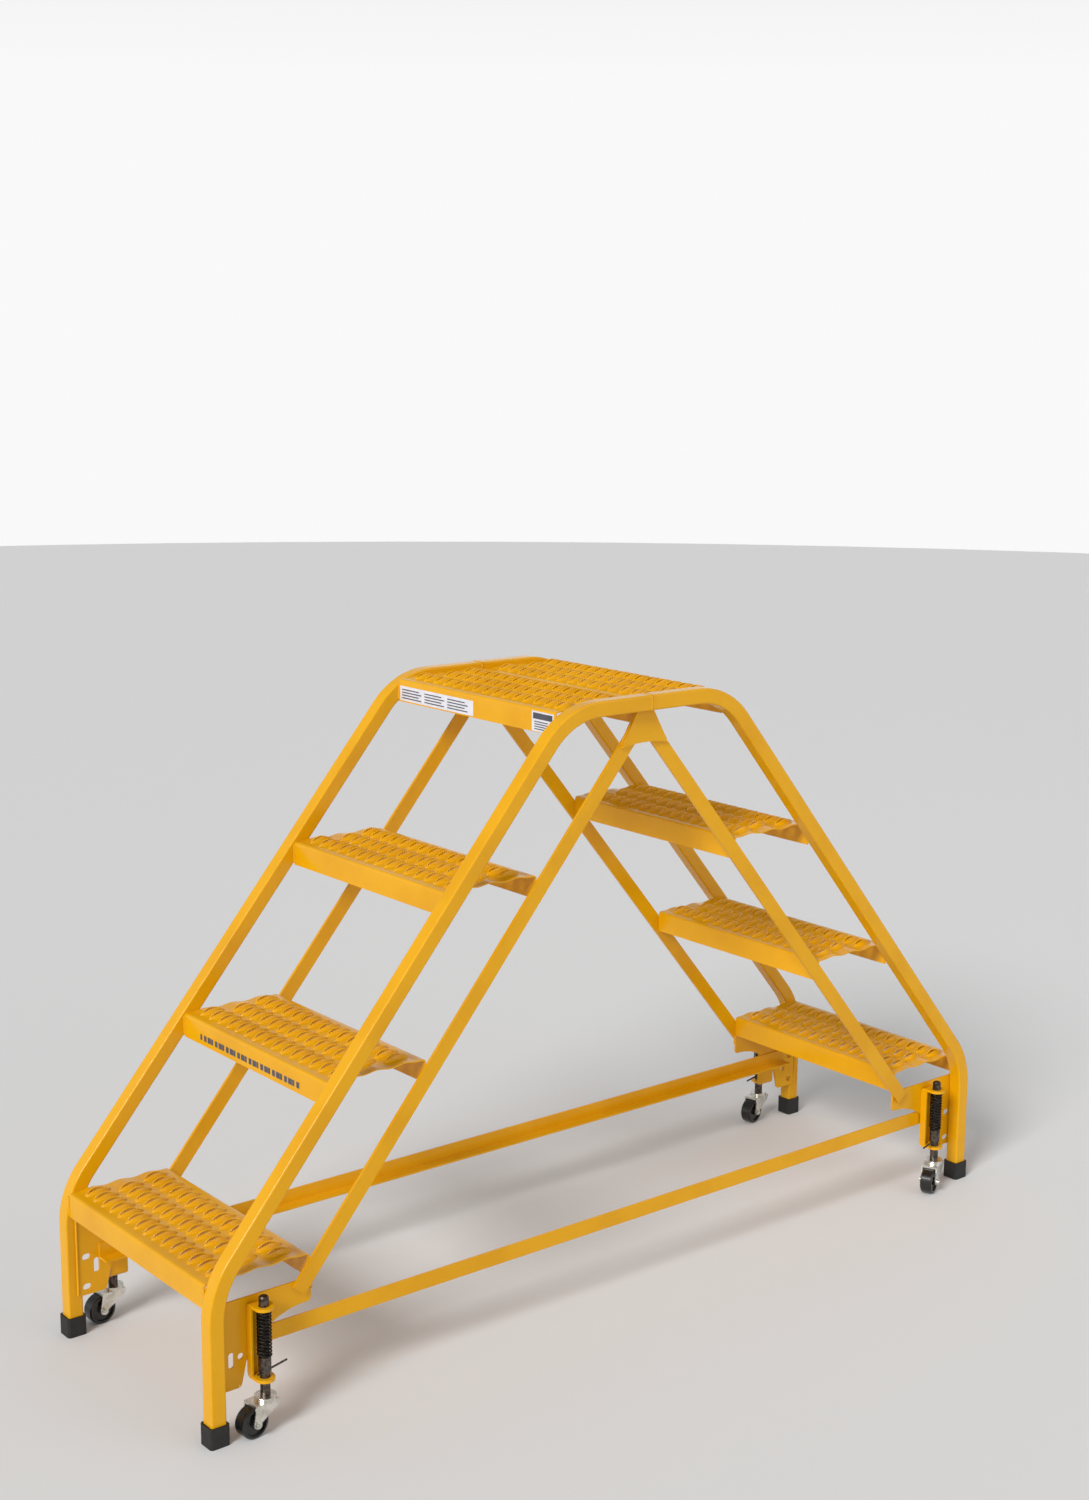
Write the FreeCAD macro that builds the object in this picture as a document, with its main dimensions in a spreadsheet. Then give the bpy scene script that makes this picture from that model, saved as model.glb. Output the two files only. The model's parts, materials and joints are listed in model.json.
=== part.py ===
# Double-sided rolling ladder stand: two four-step square-tube ladders joined back to back over a
# shared platform, standing on rubber feet beside four spring-loaded swivel casters.
# Millimetres. X runs along the ladder, Y across it, Z up. The origin is on the floor at its centre.
import FreeCAD, Part
import math
import os
import Sketcher

V = FreeCAD.Vector

DRIVING_SIZES = {
    # overall
    "clear_width": 419.1,  # between the rails, so the length of every plank
    # steps
    "first_step": 241.3,  # floor to the deck of the lowest tread
    "step_rise": 254.0,
    "step_run": 213.4,
    "leg_lead": 6.7,  # outer face of the legs ahead of the lowest tread
    "rail_to_tread": 12.7,  # platform rail top above the plank deck
    "nosing_setback": 4.0,  # tread front face behind the face of the sloping rail
    "platform_gap": 1.6,
    # square tube
    "tube": 25.4,
    "tube_wall": 1.65,
    "tube_corner": 3.0,
    "lower_bend": 130.0,  # centre line radii
    "upper_bend": 130.0,
    # grating planks
    "plank_depth": 177.8,
    "plank_flange": 38.1,
    "plank_sheet": 2.0,
    "plank_corner": 5.0,
    "hump_height": 9.0,
    "hump_margin": 13.0,
    "slot_length": 45.0,
    "slot_width": 16.5,
    "slot_pitch": 26.5,
    "slot_end_margin": 17.0,
    # flat bar braces, gussets and base angles
    "bar_width": 25.4,
    "bar_thick": 4.76,
    "brace_offset": 23.3,  # from the back face of a tread to the brace centre line, level with the deck
    "brace_foot": 180.0,  # height of the lower corner of the brace's square-cut end
    "gusset_half": 49.5,
    "gusset_drop": 58.0,
    "gusset_arch": 5.0,
    "angle_leg": 25.4,
    "angle_thick": 3.2,
    "angle_base": 121.9,
    "angle_inset": 53.5,
    # caster plates
    "plate_thick": 3.0,
    "plate_lap": 9.9,  # lap on the leg tube
    "plate_reach": 161.1,  # from the leg's inner edge to the plate's free end
    "plate_base": 66.0,
    "plate_end_base": 166.0,
    "plate_tab": 40.0,
    "plate_tab_slope": 9.0,
    "plate_notch_height": 104.0,
    "plate_arch": 113.0,
    "plate_corner": 8.0,
    "hole_from_leg": 6.1,
    "hole_low": 79.5,
    "hole_spacing": 50.5,
    "hole_long": 14.0,
    "hole_wide": 10.5,
    "slot_from_leg": 23.6,
    "slot_centre_height": 112.0,
    "slot_tall": 24.5,
    "slot_wide": 9.5,
    "spare_hole_from_leg": 39.4,
    "spare_hole_height": 114.5,
    "spare_hole_size": 10.0,
    # spring casters
    "stem_from_leg": 65.1,
    "stem_out": 24.4,  # stem axis outside the plank ends
    "bracket_width": 30.0,
    "bracket_sheet": 3.0,
    "bracket_flange": 13.5,
    "lug_thick": 4.8,
    "bracket_base": 80.0,
    "bracket_height": 115.0,
    "stem_size": 15.0,
    "stem_clear": 0.5,
    "race_height": 5.0,
    "stem_top": 210.0,
    "spring_outer": 23.6,
    "spring_wire": 2.8,
    "spring_coils": 13.0,
    "spring_gap": 0.25,
    "sleeve_outer": 19.0,
    "sleeve_length": 23.5,
    "cotter_size": 3.2,
    "cotter_tail": 46.0,
    "cotter_head": 15.0,
    "cotter_lift": 8.0,  # cotter axis above the lower lug with the ladder loaded
    "wheel_size": 47.0,
    "wheel_width": 22.0,
    "wheel_trail": 25.6,
    "crown_gap": 2.6,  # over the wheel
    "fork_sheet": 2.4,
    "fork_gap": 1.6,
    "race_size": 33.0,
    "hood_drop": 4.2,
    "axle_size": 6.35,
    # rubber feet
    "foot_wall": 3.6,
    "foot_height": 32.0,
    "foot_sole": 6.0,
    # labels
    "label_sheet": 0.3,
    "label_margin": 4.0,
    "long_label": 205.0,
    "long_label_height": 25.0,
    "small_label": 54.0,
    "small_label_height": 32.0,
    "stripe_length": 295.0,
    "stripe_height": 17.0,
}

# Direction that each caster trails in, in degrees from +X, as the ladder was last rolled.
CASTER_TRAIL = {"left_front": 186.0, "left_rear": 183.0, "right_front": 204.0, "right_rear": 193.0}
TREADS_PER_SIDE = 3
HALF = "half circle"

doc = FreeCAD.newDocument("ladder_stand")
sheet = doc.addObject("Spreadsheet::Sheet", "size")
for row, (alias, number) in enumerate(DRIVING_SIZES.items(), start=1):
    sheet.set(f"A{row}", alias)
    sheet.set(f"B{row}", str(number))
    sheet.setAlias(f"B{row}", alias)
doc.recompute()

parts = []


def value(formula):
    """A formula on the sheet's cells as a number."""
    result = sheet.evalExpression(formula)
    return float(getattr(result, "Value", result))


def register(solid, node, place=None):
    solid.Label = node
    if place is not None:
        solid.Placement = place
    parts.append(solid)
    return solid


def new_body(name):
    return doc.addObject("PartDesign::Body", name)


def plane_of(body, role):
    return next(f for f in body.Origin.OriginFeatures if f.Role == role)


def new_sketch(body, name, role, offset=None):
    sketch = body.newObject("Sketcher::SketchObject", name)
    sketch.AttachmentSupport = [(plane_of(body, role), "")]
    sketch.MapMode = "FlatFace"
    if offset:
        sketch.setExpression("AttachmentOffset.Base.z", offset)
    return sketch


def pin(sketch, geometry, point, across, along):
    """Ties one sketch point to formulas for its two coordinates."""
    for kind, formula in (("DistanceX", across), ("DistanceY", along)):
        index = sketch.addConstraint(Sketcher.Constraint(kind, -1, 1, geometry, point, value(formula)))
        sketch.setExpression(f"Constraints[{index}]", formula)


def outline(sketch, corners):
    """A closed outline through corners given anticlockwise as formulas. A third entry bends the
    edge that leaves a corner into an arc of that radius, outwards, or inwards when negative, or
    into an outward half circle when it is HALF."""
    points = [V(value(c[0]), value(c[1]), 0) for c in corners]
    made = []
    for i, corner in enumerate(corners):
        a, b = points[i], points[(i + 1) % len(points)]
        if len(corner) > 2:
            chord = b - a
            radius = chord.Length / 2 if corner[2] == HALF else value(corner[2])
            side = V(chord.y, -chord.x, 0).normalize() * (1 if radius > 0 else -1)
            rise = abs(radius) - math.sqrt(max(0.0, radius**2 - (chord.Length / 2) ** 2))
            middle = (a + b) * 0.5 + side * rise
            # the sketcher keeps arcs anticlockwise, so an inward one is drawn from its far end
            shape = Part.ArcOfCircle(a, middle, b) if radius > 0 else Part.ArcOfCircle(b, middle, a)
        else:
            shape = Part.LineSegment(a, b)
        made.append(sketch.addGeometry(shape, False))
    ends = []
    for i, g in enumerate(made):
        if len(corners[i]) > 2:
            arc = sketch.Geometry[g]
            ends.append((1, 2) if arc.StartPoint.isEqual(points[i], 1e-6) else (2, 1))
        else:
            ends.append((1, 2))
    for i, g in enumerate(made):
        j = (i + 1) % len(made)
        sketch.addConstraint(Sketcher.Constraint("Coincident", g, ends[i][1], made[j], ends[j][0]))
    for i, (g, corner) in enumerate(zip(made, corners)):
        pin(sketch, g, ends[i][0], corner[0], corner[1])
        if len(corner) > 2 and corner[2] == HALF:
            upright = abs(points[i].x - points[(i + 1) % len(points)].x) < 1e-6
            kind, formula = ("DistanceX", corner[0]) if upright else ("DistanceY", corner[1])
            index = sketch.addConstraint(Sketcher.Constraint(kind, -1, 1, g, 3, value(formula)))
            sketch.setExpression(f"Constraints[{index}]", formula)
        elif len(corner) > 2:
            index = sketch.addConstraint(Sketcher.Constraint("Radius", g, abs(value(corner[2]))))
            sketch.setExpression(f"Constraints[{index}]", f"abs({corner[2]})")


def ring(sketch, across, along, diameter):
    g = sketch.addGeometry(Part.Circle(V(value(across), value(along), 0), V(0, 0, 1), value(diameter) / 2))
    pin(sketch, g, 3, across, along)
    index = sketch.addConstraint(Sketcher.Constraint("Diameter", g, value(diameter)))
    sketch.setExpression(f"Constraints[{index}]", diameter)


def pad(body, sketch, length, centred=False, name="Pad"):
    feature = body.newObject("PartDesign::Pad", name)
    feature.Profile = sketch
    feature.setExpression("Length", length)
    if centred:
        feature.Midplane = True
    return feature


def cut_through(body, sketch, name="Pocket"):
    """Cuts the sketch's outline right through the body, both ways."""
    doc.recompute()
    before = body.Shape.Volume
    feature = body.newObject("PartDesign::Pocket", name)
    feature.Profile = sketch
    feature.Type = "ThroughAll"
    feature.Midplane = True
    doc.recompute()
    if not feature.Shape.Volume < before - 1e-3:
        raise RuntimeError(f"{body.Name}: {name} cut nothing")
    return feature


def round_edges(body, keep, radius, name="Fillet"):
    """Fillets every edge of the body that keep(edge) picks."""
    doc.recompute()
    tip = body.Tip
    picked = [f"Edge{i}" for i, e in enumerate(tip.Shape.Edges, start=1) if keep(e)]
    if not picked:
        raise RuntimeError(f"{body.Name}: no edge found for {name}")
    feature = body.newObject("PartDesign::Fillet", name)
    feature.Base = (tip, picked)
    feature.setExpression("Radius", radius)
    return feature


def runs_along(edge, axis):
    if len(edge.Vertexes) != 2:
        return False
    run = edge.Vertexes[1].Point - edge.Vertexes[0].Point
    return run.Length > 1e-6 and abs(abs(run.normalize().dot(axis)) - 1) < 1e-6


def passes(edge, point, reach=0.05):
    return edge.distToShape(Part.Vertex(point))[0] < reach


# ---- places worked out from the driving sizes -------------------------------------------------
SLOPE = "atan(size.step_rise / size.step_run)"
PLATFORM_FRONT = "(size.plank_depth + size.platform_gap / 2)"
DECK = f"(size.first_step + size.step_rise * {TREADS_PER_SIDE})"
RAIL_HEIGHT = f"({DECK} + size.rail_to_tread)"
LEG_OUTER = f"({PLATFORM_FRONT} + size.step_run * {TREADS_PER_SIDE} + size.leg_lead)"
LEG_X = f"({LEG_OUTER} - size.tube / 2)"
LEG_INNER = f"({LEG_OUTER} - size.tube)"
CROWN = "(size.wheel_size + size.crown_gap + size.fork_sheet)"
STEM_BASE = f"({CROWN} + size.race_height)"
RAIL_Y = "(size.clear_width / 2 + size.tube / 2)"
SIDES = {"left": 180.0, "right": 0.0}  # turn about Z of a piece modelled on the +X side
ROWS = {"front": -1, "rear": 1}  # sign of Y


def tread_front(steps_down):
    return f"({PLATFORM_FRONT} + size.step_run * {steps_down})"


def tread_deck(steps_down):
    return f"({DECK} - size.step_rise * {steps_down})"


def placed(side, y, x=0.0, z=0.0, turn=0.0):
    """Placement of a piece modelled on the +X side in its own XZ plane, for either side."""
    spin = FreeCAD.Rotation(V(0, 0, 1), SIDES[side] + turn)
    return FreeCAD.Placement(V(0, y, 0) + FreeCAD.Rotation(V(0, 0, 1), SIDES[side]).multVec(V(x, 0, z)), spin)


# ---- rails: leg, slope and half of the platform rail, bent from one square tube ----------------
def rounded_square(sketch, centre, size, corner):
    """A square outline with rounded corners, centred on (centre, 0)."""
    half, r = f"({size}) / 2", corner
    low, high = f"{centre} - {half}", f"{centre} + {half}"
    outline(sketch, [
        (f"{low} + {r}", f"-{half}"),
        (f"{high} - {r}", f"-{half}", r),
        (high, f"-{half} + {r}"),
        (high, f"{half} - {r}", r),
        (f"{high} - {r}", half),
        (f"{low} + {r}", half, r),
        (low, f"{half} - {r}"),
        (low, f"-{half} + {r}", r),
    ])


def make_rail(side, row):
    body = new_body(f"Rail_{side}_{row}")
    top = f"({RAIL_HEIGHT} - size.tube / 2)"
    # the slope's centre line crosses these two heights at these distances from the middle
    face = f"({tread_front(0)} + size.nosing_setback)"
    slope_x = f"({face} - size.tube / 2 / sin({SLOPE}))"
    upper_x = f"({slope_x} - ({top} - {DECK}) / tan({SLOPE}))"
    lower_z = f"({top} - ({LEG_X} - {upper_x}) * tan({SLOPE}))"
    lower_tangent = f"(size.lower_bend * tan((90 deg - {SLOPE}) / 2))"
    upper_tangent = f"(size.upper_bend * tan({SLOPE} / 2))"
    path = new_sketch(body, f"RailPath_{side}_{row}", "XZ_Plane")
    stops = [
        (LEG_X, "size.foot_sole"),
        (LEG_X, f"{lower_z} - {lower_tangent}"),
        (f"{LEG_X} - {lower_tangent} * cos({SLOPE})", f"{lower_z} + {lower_tangent} * sin({SLOPE})"),
        (f"{upper_x} + {upper_tangent} * cos({SLOPE})", f"{top} - {upper_tangent} * sin({SLOPE})"),
        (f"{upper_x} - {upper_tangent}", top),
        ("0", top),
    ]
    points = [V(value(x), value(z), 0) for x, z in stops]
    # both bends turn towards the middle, with their centres below and inside the tube
    bends = {
        1: (f"{LEG_X} - size.lower_bend", stops[1][1], "size.lower_bend"),
        3: (stops[4][0], f"{top} - size.upper_bend", "size.upper_bend"),
    }
    made = []
    for i in range(5):
        if i in bends:
            cx, cz, radius = (value(f) for f in bends[i])
            centre = V(cx, cz, 0)
            spread = (points[i] - centre) + (points[i + 1] - centre)
            middle = centre + spread.normalize() * radius
            shape = Part.Arc(points[i], middle, points[i + 1])
        else:
            shape = Part.LineSegment(points[i], points[i + 1])
        made.append(path.addGeometry(shape, False))
    for i in range(5):
        start = 1
        if i in bends and not path.Geometry[made[i]].StartPoint.isEqual(points[i], 1e-6):
            start = 2
        pin(path, made[i], start, *stops[i])
        if i in bends:
            index = path.addConstraint(Sketcher.Constraint("Radius", made[i], value(bends[i][2])))
            path.setExpression(f"Constraints[{index}]", bends[i][2])
        if i:
            before = 2 if i - 1 not in bends or path.Geometry[made[i - 1]].EndPoint.isEqual(points[i], 1e-6) else 1
            path.addConstraint(Sketcher.Constraint("Coincident", made[i - 1], before, made[i], start))
    pin(path, made[4], 2, *stops[5])
    section = new_sketch(body, f"RailSection_{side}_{row}", "XY_Plane", "size.foot_sole")
    rounded_square(section, LEG_X, "size.tube", "size.tube_corner")
    bore = new_sketch(body, f"RailBore_{side}_{row}", "XY_Plane", "size.foot_sole")
    rounded_square(bore, LEG_X, "size.tube - 2 * size.tube_wall", "(size.tube_corner - size.tube_wall)")
    for kind, sketch in (("AdditivePipe", section), ("SubtractivePipe", bore)):
        pipe = body.newObject(f"PartDesign::{kind}", f"{kind}_{side}_{row}")
        pipe.Profile = sketch
        pipe.Spine = (path, [f"Edge{i}" for i in range(1, 6)])
    y = ROWS[row] * value(RAIL_Y)
    register(body, f"rail_{side}_{row}", placed(side, y))


# ---- planks: pressed channel sheet with three rows of lens openings --------------------------
def make_plank(node, side, steps_down):
    """One grating plank, modelled about its own centre with its flat rim at z = 0."""
    body = new_body(f"Plank_{node}")
    half, sheet_, corner = "size.plank_depth / 2", "size.plank_sheet", "size.plank_corner"
    pitch = "((size.plank_depth - 2 * size.hump_margin) / 3)"
    bow = f"(({pitch} / 2) ^ 2 + size.hump_height ^ 2) / (2 * size.hump_height)"
    valleys = [f"{half} - size.hump_margin - {pitch} * {n}" for n in range(4)]
    section = new_sketch(body, f"Section_{node}", "XZ_Plane")
    corners = [
        (f"{half} - {sheet_}", "-size.plank_flange"),
        (half, "-size.plank_flange"),
        (half, f"-{corner}", corner),
        (f"{half} - {corner}", "0"),
    ]
    corners += [(x, "0", bow) for x in valleys[:3]] + [(valleys[3], "0")]
    corners += [
        (f"-{half} + {corner}", "0", corner),
        (f"-{half}", f"-{corner}"),
        (f"-{half}", "-size.plank_flange"),
        (f"-{half} + {sheet_}", "-size.plank_flange"),
        (f"-{half} + {sheet_}", f"-{corner}", f"-({corner} - {sheet_})"),
        (f"-{half} + {corner}", f"-{sheet_}"),
    ]
    corners += [(x, f"-{sheet_}", f"-({bow})") for x in valleys[:0:-1]] + [(valleys[0], f"-{sheet_}")]
    corners += [
        (f"{half} - {corner}", f"-{sheet_}", f"-({corner} - {sheet_})"),
        (f"{half} - {sheet_}", f"-{corner}"),
    ]
    outline(section, corners)
    pad(body, section, "size.clear_width", centred=True, name=f"Channel_{node}")
    # openings: the middle row sits half a pitch along from the outer two
    count = int((value("size.clear_width") - 2 * value("size.slot_end_margin")) / value("size.slot_pitch")) + 1
    for kind, rows, number in (("Outer", (-1, 1), count), ("Middle", (0,), count - 1)):
        lens = new_sketch(body, f"{kind}Lens_{node}", "XY_Plane")
        start = f"(-size.slot_pitch * {(number - 1) / 2})"
        arc = "(((size.slot_length / 2) ^ 2 + (size.slot_width / 2) ^ 2) / size.slot_width)"
        for r in rows:
            outline(lens, [
                (f"{pitch} * {r} - size.slot_length / 2", start, arc),
                (f"{pitch} * {r} + size.slot_length / 2", start, arc),
            ])
        pocket = cut_through(body, lens, f"{kind}Slots_{node}")
        repeat = body.newObject("PartDesign::LinearPattern", f"{kind}Row_{node}")
        repeat.Originals = [pocket]
        repeat.Direction = (lens, ["V_Axis"])
        repeat.Occurrences = number
        repeat.setExpression("Length", f"size.slot_pitch * {number - 1}")
        body.Tip = repeat
    register(body, node, placed(side, 0, value(f"{tread_front(steps_down)} - size.plank_depth / 2"),
                                value(tread_deck(steps_down))))


# ---- flat bars and plates that tie each side together -----------------------------------------
def make_brace(side, row):
    """Flat bar along the backs of the treads, mitred against its partner in the middle."""
    body = new_body(f"Brace_{side}_{row}")
    low, rail_base = "size.brace_foot", f"({RAIL_HEIGHT} - size.tube)"
    back = f"({tread_front(0)} - size.plank_depth - size.brace_offset)"
    reach = f"(size.bar_width / 2 / sin({SLOPE}))"
    square = f"({low} + size.bar_width * cos({SLOPE}))"

    def along(edge, z):
        return f"({back} + {edge} * {reach} + ({DECK} - {z}) / tan({SLOPE}))"

    top = f"min({rail_base}; {DECK} + ({back} + {reach} - 2 * size.platform_gap) * tan({SLOPE}))"
    meet = f"({DECK} + ({back} - {reach} - 0.2) * tan({SLOPE}))"
    side_view = new_sketch(body, f"BraceOutline_{side}_{row}", "XZ_Plane")
    outline(side_view, [
        (along(-1, low), low),
        (along(1, square), square),
        (along(1, top), top),
        ("0.2", top),
        ("0.2", meet),
    ])
    pad(body, side_view, "size.bar_thick", centred=True, name=f"Bar_{side}_{row}")
    y = ROWS[row] * value("size.clear_width / 2 + size.bar_thick / 2")
    register(body, f"brace_{side}_{row}", placed(side, y))


def make_gusset(row):
    body = new_body(f"Gusset_{row}")
    top = f"({RAIL_HEIGHT} - size.tube)"
    low = f"({top} - size.gusset_drop)"
    arch = "((size.gusset_half ^ 2 + size.gusset_arch ^ 2) / (2 * size.gusset_arch))"
    side_view = new_sketch(body, f"GussetOutline_{row}", "XZ_Plane")
    outline(side_view, [
        ("-size.gusset_half", low, f"-{arch}"),
        ("size.gusset_half", low),
        ("size.gusset_half / 3", top),
        ("-size.gusset_half / 3", top),
    ])
    pad(body, side_view, "size.bar_thick", centred=True, name=f"GussetPlate_{row}")
    register(body, f"top_gusset_{row}", placed("right", ROWS[row] * value("size.clear_width / 2 + size.bar_thick * 1.5")))


def make_base_bar(row):
    """Steel angle between the caster plates, its upright leg outwards and its flat leg inwards."""
    body = new_body(f"BaseBar_{row}")
    end_view = new_sketch(body, f"AngleSection_{row}", "YZ_Plane")
    leg, thick = "size.angle_leg", "size.angle_thick"
    outline(end_view, [
        ("0", "0"), (leg, "0"), (leg, thick), (thick, thick), (thick, leg), ("0", leg),
    ])
    pad(body, end_view, f"2 * ({LEG_OUTER} - size.angle_inset)", centred=True, name=f"Angle_{row}")
    turn = FreeCAD.Rotation(V(0, 0, 1), 0 if row == "front" else 180)
    y = ROWS[row] * value("size.clear_width / 2 - size.plate_thick")
    register(body, f"base_bar_{row}", FreeCAD.Placement(V(0, y, value("size.angle_base")), turn))


def make_caster_plate(side, row):
    """Sheet plate lapped on the leg and the brace, which carries one spring caster."""
    body = new_body(f"CasterPlate_{side}_{row}")
    high = "(size.first_step - size.plank_flange)"
    leg, end = f"({LEG_INNER} + size.plate_lap)", f"({LEG_INNER} - size.plate_reach)"
    tab = f"({LEG_INNER} - size.plate_tab)"
    low, end_low = "size.plate_base", "size.plate_end_base"
    side_view = new_sketch(body, f"PlateOutline_{side}_{row}", "XZ_Plane")
    outline(side_view, [
        (leg, low),
        (leg, high),
        (end, high),
        (end, end_low),
        (f"{end} + 1.4 * size.plate_corner", end_low, "-size.plate_arch"),
        (f"{tab} - size.plate_tab_slope", "size.plate_notch_height"),
        (tab, low),
    ])
    pad(body, side_view, "size.plate_thick", centred=True, name=f"Plate_{side}_{row}")
    free, foot = V(value(end), 0, value(end_low)), V(value(tab), 0, value(low))
    round_edges(body, lambda e: runs_along(e, V(0, 1, 0)) and (passes(e, free) or passes(e, foot)),
                "size.plate_corner - 1", f"Corners_{side}_{row}")
    holes = new_sketch(body, f"PlateHoles_{side}_{row}", "XZ_Plane")
    x, half, r = f"({LEG_INNER} - size.hole_from_leg)", "(size.hole_long - size.hole_wide) / 2", "size.hole_wide / 2"
    for z in ("size.hole_low", "(size.hole_low + size.hole_spacing)"):
        outline(holes, [
            (f"{x} - {half}", f"{z} - {r}"),
            (f"{x} + {half}", f"{z} - {r}", HALF),
            (f"{x} + {half}", f"{z} + {r}"),
            (f"{x} - {half}", f"{z} + {r}", HALF),
        ])
    x, z = f"({LEG_INNER} - size.slot_from_leg)", "size.slot_centre_height"
    half, r = "(size.slot_tall - size.slot_wide) / 2", "size.slot_wide / 2"
    outline(holes, [
        (f"{x} + {r}", f"{z} - {half}"),
        (f"{x} + {r}", f"{z} + {half}", HALF),
        (f"{x} - {r}", f"{z} + {half}"),
        (f"{x} - {r}", f"{z} - {half}", HALF),
    ])
    if (side, row) in (("left", "front"), ("right", "rear")):
        ring(holes, f"{LEG_INNER} - size.spare_hole_from_leg", "size.spare_hole_height", "size.spare_hole_size")
    cut_through(body, holes, f"Holes_{side}_{row}")
    register(body, f"caster_plate_{side}_{row}",
             placed(side, ROWS[row] * value("(size.clear_width - size.plate_thick) / 2")))


# ---- spring casters ----------------------------------------------------------------------------
def corner_place(side, row, yaw, forward=0.0, z=0.0):
    """A point on the stem axis of one corner, moved forward along the yaw direction."""
    turn = FreeCAD.Rotation(V(0, 0, 1), yaw)
    x = value(f"{LEG_INNER} - size.stem_from_leg") * (1 if side == "right" else -1)
    y = value("size.clear_width / 2 + size.stem_out") * ROWS[row]
    return FreeCAD.Placement(V(x, y, z) + turn.multVec(V(forward, 0, 0)), turn)


def make_bracket(side, row):
    """Channel bracket with a lug above and below, modelled about the stem axis, outwards at -Y."""
    body = new_body(f"Bracket_{side}_{row}")
    half, back, web = "size.bracket_width / 2", "size.stem_out", "size.bracket_sheet"
    plan = new_sketch(body, f"BracketPlan_{side}_{row}", "XY_Plane")
    outline(plan, [
        (f"-{half}", f"{back} - size.bracket_flange"),
        (f"-{half} + {web}", f"{back} - size.bracket_flange"),
        (f"-{half} + {web}", f"{back} - {web}"),
        (f"{half} - {web}", f"{back} - {web}"),
        (f"{half} - {web}", f"{back} - size.bracket_flange"),
        (half, f"{back} - size.bracket_flange"),
        (half, back),
        (f"-{half}", back),
    ])
    pad(body, plan, "size.bracket_height", name=f"Channel_{side}_{row}")
    for name, offset in (("LowerLug", None), ("UpperLug", "size.bracket_height - size.lug_thick")):
        lug = new_sketch(body, f"{name}Plan_{side}_{row}", "XY_Plane", offset)
        outline(lug, [
            (f"-{half}", "0", HALF),
            (half, "0"),
            (half, f"{back} - {web} / 2"),
            (f"-{half}", f"{back} - {web} / 2"),
        ])
        pad(body, lug, "size.lug_thick", name=f"{name}_{side}_{row}")
    bore = new_sketch(body, f"StemBore_{side}_{row}", "XY_Plane")
    ring(bore, "0", "0", "size.stem_size + 2 * size.stem_clear")
    cut_through(body, bore, f"StemHoles_{side}_{row}")
    bend = V(0, value(back), 0)
    tall = V(0, 0, value("size.bracket_height"))
    round_edges(body, lambda e: runs_along(e, V(1, 0, 0)) and (passes(e, bend) or passes(e, bend + tall)),
                "size.bracket_sheet * 2.5", f"Bends_{side}_{row}")
    spin = 0 if row == "front" else 180
    register(body, f"caster_bracket_{side}_{row}", corner_place(side, row, spin, z=value("size.bracket_base")))


def collar_heights():
    """Cotter axis, sleeve base and spring base, above the floor."""
    pin_z = "(size.bracket_base + size.lug_thick + size.cotter_lift)"
    sleeve_z = f"({pin_z} + 0.5)"
    return pin_z, sleeve_z, f"({sleeve_z} + size.sleeve_length)"


def make_stem(side, row, yaw):
    body = new_body(f"Stem_{side}_{row}")
    half, tall = "size.stem_size / 2", f"(size.stem_top - {STEM_BASE})"
    side_view = new_sketch(body, f"StemOutline_{side}_{row}", "XZ_Plane")
    outline(side_view, [
        ("0", "0"), (half, "0"), (half, f"{tall} - 2"), (f"{half} - 1.5", tall), ("0", tall),
    ])
    turned = body.newObject("PartDesign::Revolution", f"StemTurned_{side}_{row}")
    turned.Profile = side_view
    turned.ReferenceAxis = (side_view, ["V_Axis"])
    turned.Angle = 360
    hole = new_sketch(body, f"CotterHole_{side}_{row}", "YZ_Plane")
    ring(hole, "0", f"{collar_heights()[0]} - {STEM_BASE}", "size.cotter_size")
    cut_through(body, hole, f"CotterBore_{side}_{row}")
    register(body, f"caster_stem_{side}_{row}", corner_place(side, row, yaw, z=value(STEM_BASE)))


def make_retainer(side, row, yaw):
    """Spring sleeve seated on the cotter pin that passes through the stem; the pin's tail is at +X."""
    body = new_body(f"Retainer_{side}_{row}")
    pin_z, sleeve_z, _ = collar_heights()
    plan = new_sketch(body, f"SleevePlan_{side}_{row}", "XY_Plane", sleeve_z)
    ring(plan, "0", "0", "size.sleeve_outer")
    ring(plan, "0", "0", "size.stem_size")
    pad(body, plan, "size.sleeve_length", name=f"Sleeve_{side}_{row}")
    cross = new_sketch(body, f"PinSection_{side}_{row}", "YZ_Plane", "-size.cotter_head")
    ring(cross, "0", pin_z, "size.cotter_size")
    pad(body, cross, "size.cotter_head + size.cotter_tail", name=f"Cotter_{side}_{row}")
    register(body, f"stem_retainer_{side}_{row}", corner_place(side, row, yaw))


def make_spring(side, row):
    body = new_body(f"Spring_{side}_{row}")
    wire, base = "size.spring_wire", collar_heights()[2]
    length = f"(size.bracket_base + size.bracket_height - size.lug_thick - {base})"
    rise = f"({length} - {wire} - 2 * size.spring_gap)"
    section = new_sketch(body, f"WireSection_{side}_{row}", "XZ_Plane")
    ring(section, f"(size.spring_outer - {wire}) / 2", f"{wire} / 2 + size.spring_gap", wire)
    coil = body.newObject("PartDesign::AdditiveHelix", f"Coil_{side}_{row}")
    coil.Profile = section
    coil.ReferenceAxis = (section, ["V_Axis"])
    coil.Mode = "pitch-height-angle"
    coil.setExpression("Height", rise)
    coil.setExpression("Pitch", f"{rise} / size.spring_coils")
    register(body, f"stem_spring_{side}_{row}", corner_place(side, row, 0, z=value(base)))


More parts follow.
